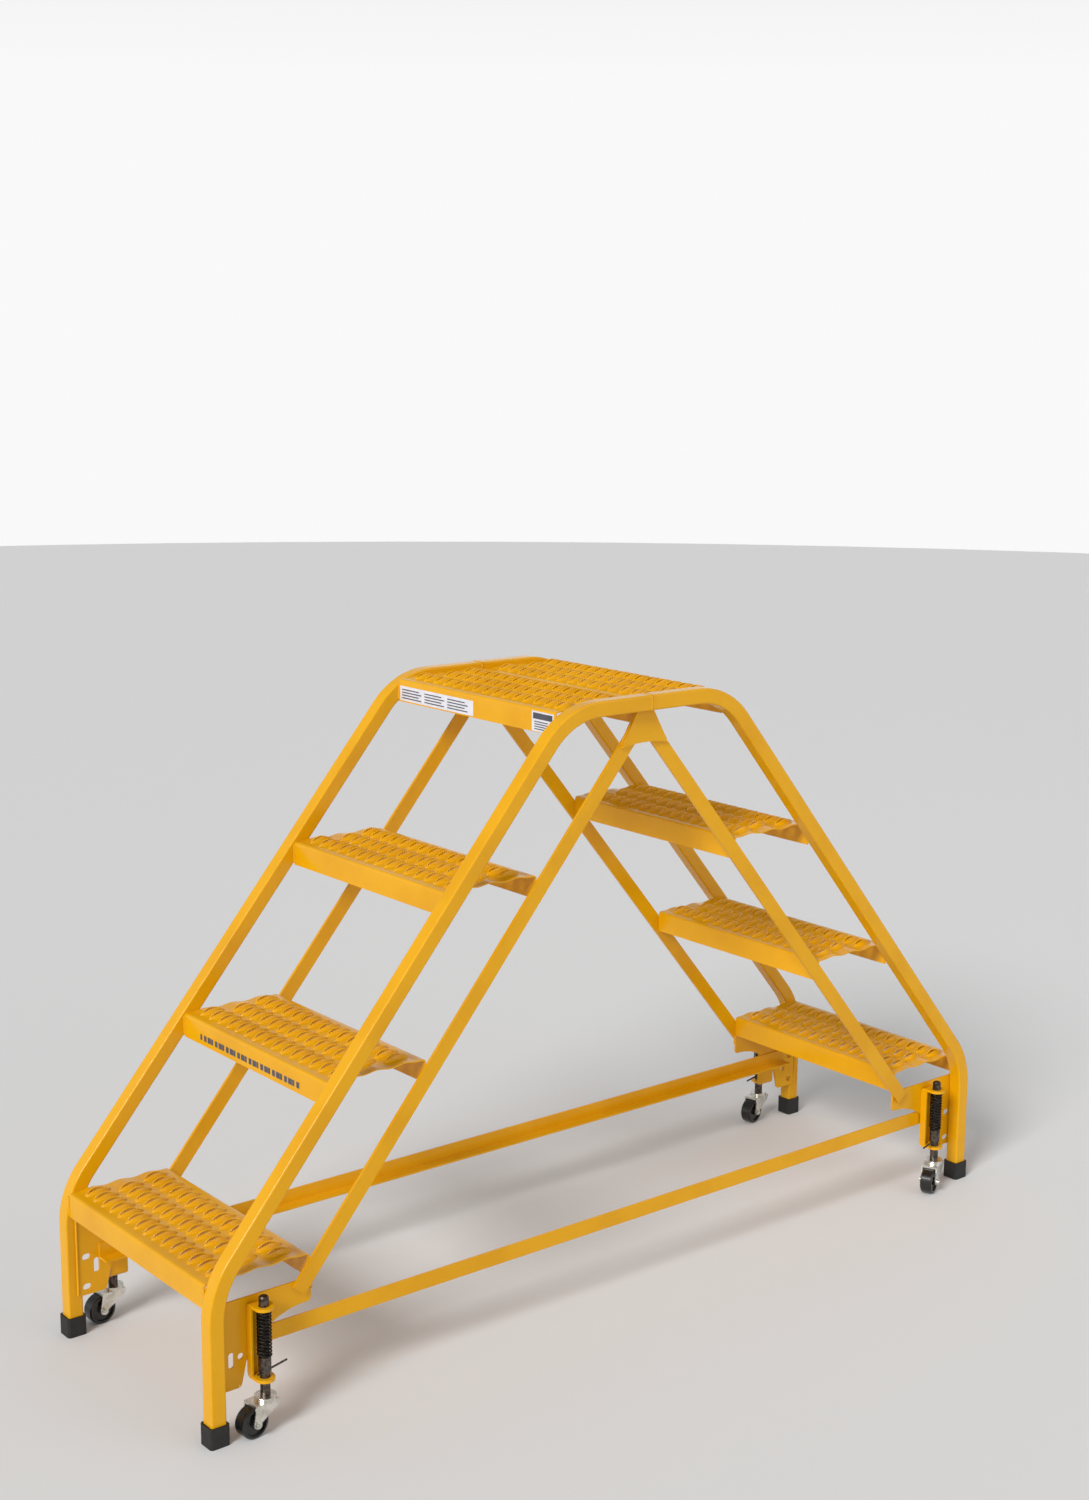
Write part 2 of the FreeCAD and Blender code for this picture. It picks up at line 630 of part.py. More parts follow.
def make_fork(side, row, yaw):
    """Fork with its swivel race, modelled about the swivel axis with the wheel trailing at +X."""
    body = new_body(f"Fork_{side}_{row}")
    radius, trail, steel = "(size.wheel_size / 2)", "size.wheel_trail", "size.fork_sheet"
    inner = "(size.wheel_width / 2 + size.fork_gap)"
    crown = CROWN
    eye = "(size.axle_size / 2 + 3.3)"
    side_view = new_sketch(body, f"LegOutline_{side}_{row}", "XZ_Plane")
    outline(side_view, [
        (f"{trail} - {eye}", radius, HALF),
        (f"{trail} + {eye}", radius),
        (f"{trail} + size.fork_sheet", f"{crown} - size.hood_drop"),
        (f"{trail} + size.fork_sheet", crown),
        ("-size.race_size / 2 + 2", crown),
        ("-size.race_size / 2 + 2", f"{crown} - size.hood_drop"),
        ("-size.race_size / 2 + 6", f"{crown} - 2.5 * size.hood_drop"),
    ])
    pad(body, side_view, f"2 * ({inner} + {steel})", centred=True, name=f"Yoke_{side}_{row}")
    gap = new_sketch(body, f"WheelGap_{side}_{row}", "YZ_Plane")
    outline(gap, [
        (f"-{inner}", "-size.wheel_size"), (inner, "-size.wheel_size"),
        (inner, f"{crown} - {steel}"), (f"-{inner}", f"{crown} - {steel}"),
    ])
    cut_through(body, gap, f"Gap_{side}_{row}")
    hood = new_sketch(body, f"HoodOutline_{side}_{row}", "XZ_Plane")
    outline(hood, [
        (trail, f"{crown} - size.hood_drop"),
        (f"{trail} + size.fork_sheet", f"{crown} - size.hood_drop"),
        (f"{trail} + size.fork_sheet", crown),
        (trail, crown),
    ])
    pad(body, hood, f"2 * ({inner} + {steel})", centred=True, name=f"Hood_{side}_{row}")
    race = new_sketch(body, f"RacePlan_{side}_{row}", "XY_Plane", crown)
    ring(race, "0", "0", "size.race_size")
    pad(body, race, "size.race_height - 0.05", name=f"Race_{side}_{row}")
    bore = new_sketch(body, f"AxleHole_{side}_{row}", "XZ_Plane")
    ring(bore, trail, radius, "size.axle_size")
    cut_through(body, bore, f"AxleBore_{side}_{row}")
    register(body, f"caster_fork_{side}_{row}", corner_place(side, row, yaw))


def wheel_place(side, row, yaw):
    return corner_place(side, row, yaw, value("size.wheel_trail"), value("size.wheel_size / 2"))


def make_axle(side, row, yaw):
    body = new_body(f"Axle_{side}_{row}")
    face = "(size.wheel_width / 2 + size.fork_gap + size.fork_sheet)"
    side_view = new_sketch(body, f"AxleOutline_{side}_{row}", "XY_Plane")
    shank, head = "size.axle_size / 2", "size.axle_size * 0.85"
    outline(side_view, [
        ("0", f"-{face} - 3"), (f"{head} - 0.8", f"-{face} - 3"), (head, f"-{face} - 2.2"), (head, f"-{face}"),
        (shank, f"-{face}"), (shank, face), (head, face), (head, f"{face} + 3.2"),
        (shank, f"{face} + 3.2"), (shank, f"{face} + 5"), ("0", f"{face} + 5"),
    ])
    turned = body.newObject("PartDesign::Revolution", f"Bolt_{side}_{row}")
    turned.Profile = side_view
    turned.ReferenceAxis = (side_view, ["V_Axis"])
    turned.Angle = 360
    register(body, f"caster_axle_{side}_{row}", wheel_place(side, row, yaw))


def make_wheel(side, row, yaw):
    body = new_body(f"Wheel_{side}_{row}")
    bore, radius, half = "(size.axle_size / 2 + 0.1)", "(size.wheel_size / 2)", "(size.wheel_width / 2)"
    hub = f"({half} + size.fork_gap - 0.2)"
    side_view = new_sketch(body, f"WheelSection_{side}_{row}", "XY_Plane")
    right = [
        (bore, f"-{hub}"), (f"{bore} + 4", f"-{hub}"), (f"{bore} + 4", f"-{half} + 3"),
        (f"{radius} - 6", f"-{half} + 3"), (f"{radius} - 5", f"-{half}"), (f"{radius} - 2", f"-{half}"),
        (radius, f"-{half} + 2"),
    ]
    left = [(x, f"-({y})") for x, y in reversed(right)]
    outline(side_view, right + left)
    turned = body.newObject("PartDesign::Revolution", f"WheelTurned_{side}_{row}")
    turned.Profile = side_view
    turned.ReferenceAxis = (side_view, ["V_Axis"])
    turned.Angle = 360
    register(body, f"caster_wheel_{side}_{row}", wheel_place(side, row, yaw))


# ---- rubber feet and labels --------------------------------------------------------------------
def make_foot(side, row):
    body = new_body(f"Foot_{side}_{row}")
    outer = new_sketch(body, f"FootPlan_{side}_{row}", "XY_Plane")
    rounded_square(outer, "0", "size.tube + 2 * size.foot_wall", "(size.tube_corner + 2)")
    pad(body, outer, "size.foot_height", name=f"Cap_{side}_{row}")
    inner = new_sketch(body, f"FootSocket_{side}_{row}", "XY_Plane", "size.foot_sole")
    rounded_square(inner, "0", "size.tube", "size.tube_corner")
    doc.recompute()
    socket = body.newObject("PartDesign::Pocket", f"Socket_{side}_{row}")
    socket.Profile = inner
    socket.setExpression("Length", "size.foot_height")
    socket.Reversed = True
    place = placed(side, ROWS[row] * value(RAIL_Y), value(LEG_X))
    register(body, f"foot_{side}_{row}", place)


def make_label(node, length, height, front, y, z):
    """A thin label on a plank's front flange, on the -X side."""
    label = doc.addObject("Part::Box", f"Label_{node}")
    label.setExpression("Length", "size.label_sheet")
    label.setExpression("Width", length)
    label.setExpression("Height", height)
    low = V(-value(front) - value("size.label_sheet"), value(y), value(z))
    register(label, node, FreeCAD.Placement(low, FreeCAD.Rotation()))


for side in SIDES:
    for row in ROWS:
        make_rail(side, row)
        make_brace(side, row)
        make_caster_plate(side, row)
        make_bracket(side, row)
        yaw = CASTER_TRAIL[f"{side}_{row}"]
        # each cotter's tail points to the middle of the ladder
        pin_yaw = (15.0 if side == "left" else 195.0)
        make_stem(side, row, pin_yaw)
        make_retainer(side, row, pin_yaw)
        make_spring(side, row)
        make_fork(side, row, yaw)
        make_axle(side, row, yaw)
        make_wheel(side, row, yaw)
        make_foot(side, row)
    for number in range(1, TREADS_PER_SIDE + 1):
        make_plank(f"tread_{side}_{number}", side, TREADS_PER_SIDE + 1 - number)
    make_plank(f"platform_plank_{side}", side, 0)
for row in ROWS:
    make_gusset(row)
    make_base_bar(row)
far_end, near_end = "size.clear_width / 2 - size.label_margin", "-size.clear_width / 2 + size.label_margin"
make_label("label_platform_long", "size.long_label", "size.long_label_height", tread_front(0),
           f"{far_end} - size.long_label", f"{DECK} - size.plank_flange + 2.3")
make_label("label_platform_small", "size.small_label", "size.small_label_height", tread_front(0),
           near_end, f"{DECK} - size.plank_flange + 1.2")
make_label("label_tread_stripe", "size.stripe_length", "size.stripe_height", tread_front(2),
           "-size.stripe_length / 2 + 12", f"{tread_deck(2)} - size.plank_flange + 4.5")

doc.recompute()
for item in doc.Objects:
    if "Invalid" in item.State or "Error" in item.State:
        raise RuntimeError(f"{item.Label} did not recompute: {item.State}")
names = [solid.Label for solid in parts]
if len(set(names)) != len(names) or len(names) > 60:
    raise RuntimeError("part names clash or are too many")
for solid in parts:
    if solid.Shape.isNull() or not solid.Shape.isValid() or not solid.Shape.Solids:
        raise RuntimeError(f"{solid.Label} has no valid solid")
os.makedirs("parts", exist_ok=True)
for solid in parts:
    solid.Shape.exportStep(f"parts/{solid.Label}.step")
print(f"wrote {len(parts)} parts")
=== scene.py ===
import json
import math
import bmesh
import bpy
from mathutils import Matrix, Vector


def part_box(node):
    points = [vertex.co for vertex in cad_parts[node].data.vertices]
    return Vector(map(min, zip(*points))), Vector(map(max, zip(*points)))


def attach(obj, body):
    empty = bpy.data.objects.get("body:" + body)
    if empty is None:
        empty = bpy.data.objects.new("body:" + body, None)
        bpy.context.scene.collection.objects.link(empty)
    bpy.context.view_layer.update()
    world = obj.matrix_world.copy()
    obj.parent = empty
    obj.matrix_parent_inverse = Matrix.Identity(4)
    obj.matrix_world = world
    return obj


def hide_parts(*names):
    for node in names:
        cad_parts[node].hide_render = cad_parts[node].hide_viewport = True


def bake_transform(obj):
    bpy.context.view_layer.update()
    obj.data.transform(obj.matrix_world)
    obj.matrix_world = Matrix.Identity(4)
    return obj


# Looks of a double-sided rolling ladder stand: grating planks, tube rails, welds and spring casters.
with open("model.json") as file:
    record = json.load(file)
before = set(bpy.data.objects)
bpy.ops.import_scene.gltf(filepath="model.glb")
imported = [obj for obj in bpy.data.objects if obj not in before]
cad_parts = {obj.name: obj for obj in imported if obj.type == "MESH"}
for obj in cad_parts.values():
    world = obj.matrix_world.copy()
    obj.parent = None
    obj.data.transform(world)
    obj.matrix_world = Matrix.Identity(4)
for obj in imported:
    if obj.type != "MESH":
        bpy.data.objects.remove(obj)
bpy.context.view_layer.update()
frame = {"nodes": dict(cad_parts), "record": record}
nodes = frame["nodes"]
sides = {"left": -1, "right": 1}  # sign of X
rows = {"front": -1, "rear": 1}  # sign of Y
corners = [f"{side}_{row}" for side in sides for row in rows]
print("frame loaded:", len(nodes), "nodes")


# node, colour and mesh helpers
def hexToLinear(code):
    parts = [int(code[i:i + 2], 16) / 255 for i in (1, 3, 5)]
    return [p / 12.92 if p <= 0.04045 else ((p + 0.055) / 1.055) ** 2.4 for p in parts] + [1.0]


def addNode(tree, kind, links=None, values=None, **settings):
    node = tree.nodes.new(kind)
    for name, setting in settings.items():
        setattr(node, name, setting)
    for socket, value in (values or {}).items():
        node.inputs[socket].default_value = value
    for socket, source in (links or {}).items():
        tree.links.new(source, node.inputs[socket])
    return node


def newObject(name, mesh):
    made = bpy.data.objects.new(name, mesh)
    bpy.context.scene.collection.objects.link(made)
    return made


def smoothByAngle(mesh, degrees=35):
    mesh.polygons.foreach_set("use_smooth", [True] * len(mesh.polygons))
    mesh.set_sharp_from_angle(angle=math.radians(degrees))


def newSizeTree(name, sizes):
    # a geometry tree with one named input per size; a whole number makes an integer input
    tree = bpy.data.node_groups.new(name, "GeometryNodeTree")
    tree.interface.new_socket("Geometry", in_out="INPUT", socket_type="NodeSocketGeometry")
    for label, size in sizes.items():
        kind = {int: "NodeSocketInt", float: "NodeSocketFloat"}.get(type(size), "NodeSocketObject")
        tree.interface.new_socket(label, in_out="INPUT", socket_type=kind)
    tree.interface.new_socket("Geometry", in_out="OUTPUT", socket_type="NodeSocketGeometry")
    return tree, addNode(tree, "NodeGroupInput"), addNode(tree, "NodeGroupOutput")


def runTree(host, tree, sizes, name):
    # runs the tree on the host object and returns the result as a plain mesh
    modifier = host.modifiers.new(tree.name, "NODES")
    modifier.node_group = tree
    for item in tree.interface.items_tree:
        if item.in_out == "INPUT" and item.name in sizes:
            modifier[item.identifier] = sizes[item.name]
    shown = host.evaluated_get(bpy.context.evaluated_depsgraph_get())
    mesh = bpy.data.meshes.new_from_object(shown)
    mesh.name = name
    host.modifiers.clear()
    return mesh


def setFinish(tree, outs, last, material):
    # one finish over the whole result, which then leaves the tree
    painted = addNode(tree, "GeometryNodeSetMaterial", {"Geometry": last.outputs[0]}, {"Material": material})
    tree.links.new(painted.outputs[0], outs.inputs[0])


def mathOf(tree, operation, a, b=0.0):
    node = addNode(tree, "ShaderNodeMath", operation=operation)
    for socket, source in zip(node.inputs, (a, b)):
        if hasattr(source, "node"):
            tree.links.new(source, socket)
        else:
            socket.default_value = source
    return node.outputs[0]


# materials
finish = {
    "yellowPaint": "#DFA208",
    "yellowDeep": "#D89A04",  # where the powder lies thinner
    "zinc": "#E6E5DF",
    "zincDull": "#CCCAC0",
    "steel": "#6B625B",
    "spring": "#23211F",
    "rubber": "#1A1917",
    "wheel": "#201F1E",
    "labelWhite": "#DCDDE4",
    "ink": "#4A4C55",
    "orangePeel": 0.0022,  # width of one ripple in the paint, metres
}


def newFinish(name, roughness, metallic=0.0, **sockets):
    made = bpy.data.materials.new(name)
    made.use_nodes = True
    shader = made.node_tree.nodes["Principled BSDF"]
    shader.inputs["Roughness"].default_value = roughness
    shader.inputs["Metallic"].default_value = metallic
    for socket, value in sockets.items():
        shader.inputs[socket].default_value = value
    return made, made.node_tree, shader


def noiseOf(tree, grainMetres, detail=3.0):
    place = addNode(tree, "ShaderNodeTexCoord").outputs["Object"]
    return addNode(tree, "ShaderNodeTexNoise", {"Vector": place},
                   {"Scale": 1 / grainMetres, "Detail": detail})


def mottle(tree, shader, colours, grainMetres, low=0.4, high=0.6):
    # two tones of one finish, mixed by soft noise
    noise = noiseOf(tree, grainMetres)
    ramp = addNode(tree, "ShaderNodeValToRGB", {"Fac": noise.outputs["Fac"]})
    for stop, place, colour in zip(ramp.color_ramp.elements, (low, high), colours):
        stop.position = place
        stop.color = hexToLinear(colour)
    tree.links.new(ramp.outputs["Color"], shader.inputs["Base Color"])


def roughen(tree, shader, grainMetres, strength, depth, low, high):
    # grain that shows both as fine relief and as a change of gloss
    noise = noiseOf(tree, grainMetres)
    bump = addNode(tree, "ShaderNodeBump", {"Height": noise.outputs["Fac"]},
                   {"Strength": strength, "Distance": depth})
    gloss = addNode(tree, "ShaderNodeMapRange", {"Value": noise.outputs["Fac"]},
                    {"To Min": low, "To Max": high})
    tree.links.new(bump.outputs["Normal"], shader.inputs["Normal"])
    tree.links.new(gloss.outputs["Result"], shader.inputs["Roughness"])


def makeYellowPowderCoat():
    # baked polyester powder: glossy and even, with a faint orange peel
    made, tree, shader = newFinish("yellowPowderCoat", 0.34, **{"Specular IOR Level": 0.3})
    mottle(tree, shader, (finish["yellowDeep"], finish["yellowPaint"]), 0.12, 0.35, 0.55)
    roughen(tree, shader, finish["orangePeel"], 0.08, 0.0003, 0.16, 0.26)
    return made


def makeZincPlate():
    # bright zinc over pressed steel: pale, slightly cloudy metal
    made, tree, shader = newFinish("brightZincPlate", 0.35, 1.0)
    mottle(tree, shader, (finish["zincDull"], finish["zinc"]), 0.014)
    roughen(tree, shader, 0.003, 0.12, 0.0003, 0.2, 0.34)
    return made


def makeSteel(name, colour, dull, roughness):
    # bare or blackened steel, drawn round, with an oily film
    made, tree, shader = newFinish(name, roughness, 1.0)
    mottle(tree, shader, (dull, colour), 0.006)
    roughen(tree, shader, 0.0012, 0.1, 0.0002, roughness - 0.08, roughness + 0.12)
    return made


def makeRubber(name, colour, roughness):
    # moulded rubber: black, with a fine matt grain
    made, tree, shader = newFinish(name, roughness, IOR=1.5)
    mottle(tree, shader, ("#121110", colour), 0.01)
    roughen(tree, shader, 0.0008, 0.15, 0.0002, roughness - 0.08, roughness + 0.08)
    return made


def makeLabelFilm(name, colour, low):
    # printed vinyl film: flat colour, half gloss
    made, tree, shader = newFinish(name, 0.35, IOR=1.46)
    mottle(tree, shader, (low, colour), 0.02)
    return made


powderCoat = makeYellowPowderCoat()
zincPlate = makeZincPlate()
oiledSteel = makeSteel("oiledSteel", finish["steel"], "#3F3934", 0.4)
springSteel = makeSteel("blackSpringSteel", "#35322F", finish["spring"], 0.42)
footRubber = makeRubber("mouldedRubber", finish["rubber"], 0.62)
wheelRubber = makeRubber("hardWheelRubber", finish["wheel"], 0.24)
labelFilm = makeLabelFilm("whiteLabelFilm", finish["labelWhite"], "#D2D3DB")
labelInk = makeLabelFilm("printedInk", finish["ink"], "#41434C")
print("finishes made")

slotFinish = {
    "yellow_enamel": powderCoat,
    "black_rubber": footRubber,
    "black_wheel": wheelRubber,
    "zinc_plate": zincPlate,
    "plain_steel": oiledSteel,
    "spring_steel": springSteel,
    "label_film": labelFilm,
}
for part in frame["record"]["subparts"]:
    mesh = nodes[part["node"]].data
    mesh.materials.clear()
    mesh.materials.append(slotFinish[part["material_slot"]])


# grating planks
plank = {
    "flange": 0.0381,  # depth of the channel's sides
    "sheet": 0.0019,
    "corner": 0.005,
    "rim": 0.013,  # flat strip along each side
    "opening": 0.046,  # length of one opening, across the plank
    "openingWidth": 0.0116,
    "lip": 0.0062,  # height of the turned-up edge in the middle of an opening
    "lean": 0.0034,  # how far the foot of a lip stands back from its edge
    "tooth": 0.0008,  # half the height of a serration
    "strut": 0.0028,  # how far the struts crown above the rim
    "samples": 22,  # serrations up and down along one opening
    "endRoundness": 0.55,  # below one keeps the lip high towards the ends of an opening
    "toothStart": 0.1,  # share of the opening's width below which there are no teeth
    "leanRamp": 0.003,  # half width over which the lean of the lip grows
    "lipMiddle": (0.35, 0.4),  # shares of the lean and of the rise at the middle of a lip
    "mergeGap": 0.00005,
}
plankSizes = {"Opening pitch": 0.0265, "Row pitch": 0.0, "Openings": 15}


def strutHeight(x, half):
    return plank["strut"] * math.cos(math.pi * x / (2 * half)) ** 2


def openingEdge(x):
    # half the width of the opening at a distance x from its middle
    half, wide = plank["opening"] / 2, plank["openingWidth"] / 2
    radius = (half ** 2 + wide ** 2) / (2 * wide)
    return max(0.0, math.sqrt(radius ** 2 - x * x) - (radius - wide)) if abs(x) < half else 0.0


def makeOpeningCell(halfX, halfY):
    # one opening with its raised serrated edge, and the halves of the two struts beside it
    bm = bmesh.new()
    half, count = plank["opening"] / 2, plank["samples"]
    xs = [-halfX] + [half * (2 * i / count - 1) for i in range(count + 1)] + [halfX]
    for side in (-1, 1):
        columns = []
        for i, x in enumerate(xs):
            edge, base = openingEdge(x), strutHeight(x, halfX)
            rise = plank["lip"] * (edge / (plank["openingWidth"] / 2)) ** plank["endRoundness"]
            if edge > plank["openingWidth"] * plank["toothStart"]:
                rise += plank["tooth"] * (1 if i % 2 else -1)
            # lip top, lip foot, and the bottom of the strut
            foot = min(edge + plank["lean"] * min(1.0, edge / plank["leanRamp"]), halfY)
            column = [(x, edge, base + rise)]
            if edge > 0:
                outwards, upwards = plank["lipMiddle"]
                column.append((x, edge + (foot - edge) * outwards, base + rise * upwards))
            column += [(x, foot, base), (x, halfY, base)]
            columns.append([bm.verts.new((p[0], p[1] * side, p[2])) for p in column])
        for a, b in zip(columns, columns[1:]):
            if len(a) == len(b):
                for k in range(len(a) - 1):
                    bm.faces.new((a[k], b[k], b[k + 1], a[k + 1]))
            else:
                flat, cut = (a, b) if len(a) < len(b) else (b, a)
                bm.faces.new((flat[0], cut[0], cut[1], cut[2]))
                bm.faces.new((flat[0], cut[2], cut[3], flat[2]))
    bmesh.ops.remove_doubles(bm, verts=bm.verts, dist=1e-5)
    bmesh.ops.dissolve_degenerate(bm, edges=bm.edges, dist=1e-6)
    bmesh.ops.recalc_face_normals(bm, faces=bm.faces)
    mesh = bpy.data.meshes.new("openingCell")
    bm.to_mesh(mesh)
    bm.free()
    return newObject("openingCell", mesh)


def makePlankChannel(halfX, halfY, rowPitch, pitch, count):
    # the plain sheet round the openings: both sides, both rims and the strips at the row ends
    bm = bmesh.new()

    def strip(profile, ys):
        lines = [[bm.verts.new((x, y, h)) for x, h in profile] for y in ys]
        for a, b in zip(lines, lines[1:]):
            for k in range(len(profile) - 1):
                bm.faces.new((a[k], a[k + 1], b[k + 1], b[k]))

    steps = [k * pitch / 2 for k in range(-count, count + 1)]
    ys = [-halfY] + steps + [halfY]
    corner = plank["corner"]
    bend = [(halfX - corner + corner * math.sin(a), corner * (math.cos(a) - 1))
            for a in [math.pi / 8 * n for n in range(5)]]
    side = [(1.5 * rowPitch, 0.0)] + bend + [(halfX, -plank["flange"])]
    strip(side, ys)
    strip([(-x, z) for x, z in reversed(side)], ys)
    half, number, halfRow = plank["opening"] / 2, plank["samples"], rowPitch / 2
    xs = [-halfRow] + [half * (2 * i / number - 1) for i in range(number + 1)] + [halfRow]
    for row in (-1, 0, 1):
        profile = [(row * rowPitch + x, strutHeight(x, halfRow)) for x in xs]
        last = (count if row else count - 1) * pitch / 2
        for sign in (-1, 1):
            ends = [y for y in ys if abs(y) >= last - 1e-6 and y * sign > 0]
            strip(profile, ends)
    bmesh.ops.recalc_face_normals(bm, faces=bm.faces)
    mesh = bpy.data.meshes.new("plankChannel")
    bm.to_mesh(mesh)
    bm.free()
    return newObject("plankChannel", mesh)


def makePlankTree():
    # three rows of openings, the middle one half a pitch along, joined to the plain channel
    tree, ins, outs = newSizeTree("gratingPlank", {**plankSizes, "Row pitch": 0.05, "Cell": None})
    pitch, rowPitch, number = (ins.outputs[k] for k in ("Opening pitch", "Row pitch", "Openings"))
    cell = addNode(tree, "GeometryNodeObjectInfo", {"Object": ins.outputs["Cell"]})
    rowsOfPoints = []
    for row in (-1, 0, 1):
        count = number if row else mathOf(tree, "SUBTRACT", number, 1.0)
        reach = mathOf(tree, "MULTIPLY", mathOf(tree, "SUBTRACT", count, 1.0), pitch)
        start = addNode(tree, "ShaderNodeCombineXYZ", {
            "X": mathOf(tree, "MULTIPLY", rowPitch, float(row)),
            "Y": mathOf(tree, "MULTIPLY", reach, -0.5)})
        step = addNode(tree, "ShaderNodeCombineXYZ", {"Y": pitch})
        line = addNode(tree, "GeometryNodeMeshLine", {
            "Count": count, "Start Location": start.outputs[0], "Offset": step.outputs[0]})
        rowsOfPoints.append(line.outputs["Mesh"])
    points = addNode(tree, "GeometryNodeJoinGeometry")
    for line in rowsOfPoints:
        tree.links.new(line, points.inputs[0])
    placed = addNode(tree, "GeometryNodeInstanceOnPoints", {
        "Points": points.outputs[0], "Instance": cell.outputs["Geometry"]})
    real = addNode(tree, "GeometryNodeRealizeInstances", {"Geometry": placed.outputs[0]})
    whole = addNode(tree, "GeometryNodeJoinGeometry")
    tree.links.new(real.outputs[0], whole.inputs[0])
    tree.links.new(ins.outputs["Geometry"], whole.inputs[0])
    merged = addNode(tree, "GeometryNodeMergeByDistance", {"Geometry": whole.outputs[0]},
                     {"Distance": plank["mergeGap"]})
    setFinish(tree, outs, merged, powderCoat)
    return tree


def makePlankMesh(node):
    # a plank centred on its own middle, with the rim's top at z = 0
    low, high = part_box(node)
    halfX, halfY = (high.x - low.x) / 2, (high.y - low.y) / 2
    pitch, count = plankSizes["Opening pitch"], plankSizes["Openings"]
    rowPitch = 2 * (halfX - plank["rim"]) / 3
    cell = makeOpeningCell(rowPitch / 2, pitch / 2)
    host = makePlankChannel(halfX, halfY, rowPitch, pitch, count)
    sizes = {**plankSizes, "Row pitch": rowPitch, "Cell": cell}
    mesh = runTree(host, makePlankTree(), sizes, "gratingPlank")
    for used in (host, cell):
        bpy.data.objects.remove(used)
    bm = bmesh.new()
    bm.from_mesh(mesh)
    bmesh.ops.recalc_face_normals(bm, faces=bm.faces)
    if sum(f.normal.z * f.calc_area() for f in bm.faces) < 0:
        bmesh.ops.reverse_faces(bm, faces=bm.faces)
    bmesh.ops.solidify(bm, geom=bm.faces, thickness=plank["sheet"])
    bmesh.ops.recalc_face_normals(bm, faces=bm.faces)
    bm.to_mesh(mesh)
    bm.free()
    smoothByAngle(mesh, 40)
    return mesh


plankNodes = [n for n in nodes if n.startswith(("tread_", "platform_plank_"))]
plankMesh = makePlankMesh(plankNodes[0])
for node in sorted(plankNodes):
    low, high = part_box(node)
    mesh = plankMesh.copy()
    mesh.transform(Matrix.Translation(((low.x + high.x) / 2, 0, low.z + plank["flange"])))
    made = newObject(f"grating_{node}", mesh)
    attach(made, "frame")
    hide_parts(node)
print("planks made:", len(plankNodes), "of", len(plankMesh.polygons), "faces")


# welds
weld = {
    "radius": 0.0021,
    "ripple": 0.0026,
    "rippleDepth": 0.12,
    "wander": 0.0004,
    "lowStop": 0.003,  # how far a bead stops short of the lower end of its seam
    "highStop": 0.004,
    "braceStop": 0.006,
    "gussetInset": 0.001,
    "railInset": 0.0012,  # how deep the ring sits in the joint of the top rail
}
weldSizes = {"Radius": weld["radius"], "Ripple": weld["ripple"], "Depth": weld["rippleDepth"],
             "Wander": weld["wander"], "Seed": 4.0}


def makeWeldTree():
    # a rippled bead along each edge of the host mesh
    tree, ins, outs = newSizeTree("weldBead", weldSizes)
    curve = addNode(tree, "GeometryNodeMeshToCurve", {"Mesh": ins.outputs["Geometry"]})
    step = mathOf(tree, "MULTIPLY", ins.outputs["Ripple"], 0.25)
    even = addNode(tree, "GeometryNodeResampleCurve", {"Curve": curve.outputs[0], "Length": step},
                   mode="LENGTH")
    along = addNode(tree, "GeometryNodeSplineParameter").outputs["Length"]
    turn = mathOf(tree, "MULTIPLY", mathOf(tree, "DIVIDE", along, ins.outputs["Ripple"]), 2 * math.pi)
    swell = mathOf(tree, "MULTIPLY", mathOf(tree, "SINE", turn), ins.outputs["Depth"])
    thick = mathOf(tree, "MULTIPLY", mathOf(tree, "ADD", swell, 1.0), ins.outputs["Radius"])
    place = addNode(tree, "GeometryNodeInputPosition")
    noise = addNode(tree, "ShaderNodeTexNoise", {"Vector": place.outputs[0], "W": ins.outputs["Seed"]},
                    {"Scale": 120.0}, noise_dimensions="4D")
    centred = addNode(tree, "ShaderNodeVectorMath", {0: noise.outputs["Color"]}, {1: (0.5, 0.5, 0.5)},
                      operation="SUBTRACT")
    shift = addNode(tree, "ShaderNodeVectorMath", {
        0: centred.outputs[0], "Scale": ins.outputs["Wander"]}, operation="SCALE")
    moved = addNode(tree, "GeometryNodeSetPosition", {
        "Geometry": even.outputs[0], "Offset": shift.outputs[0]})
    ring = addNode(tree, "GeometryNodeCurvePrimitiveCircle", None, {"Resolution": 8, "Radius": 1.0})
    tube = addNode(tree, "GeometryNodeCurveToMesh", {
        "Curve": moved.outputs[0], "Profile Curve": ring.outputs[0]}, {"Fill Caps": True})
    if "Scale" in tube.inputs:
        tree.links.new(thick, tube.inputs["Scale"])
    else:
        size = addNode(tree, "GeometryNodeSetCurveRadius", {"Curve": moved.outputs[0], "Radius": thick})
        tree.links.new(size.outputs[0], tube.inputs["Curve"])
    real = addNode(tree, "GeometryNodeRealizeInstances", {"Geometry": tube.outputs[0]})
    setFinish(tree, outs, real, powderCoat)
    return tree


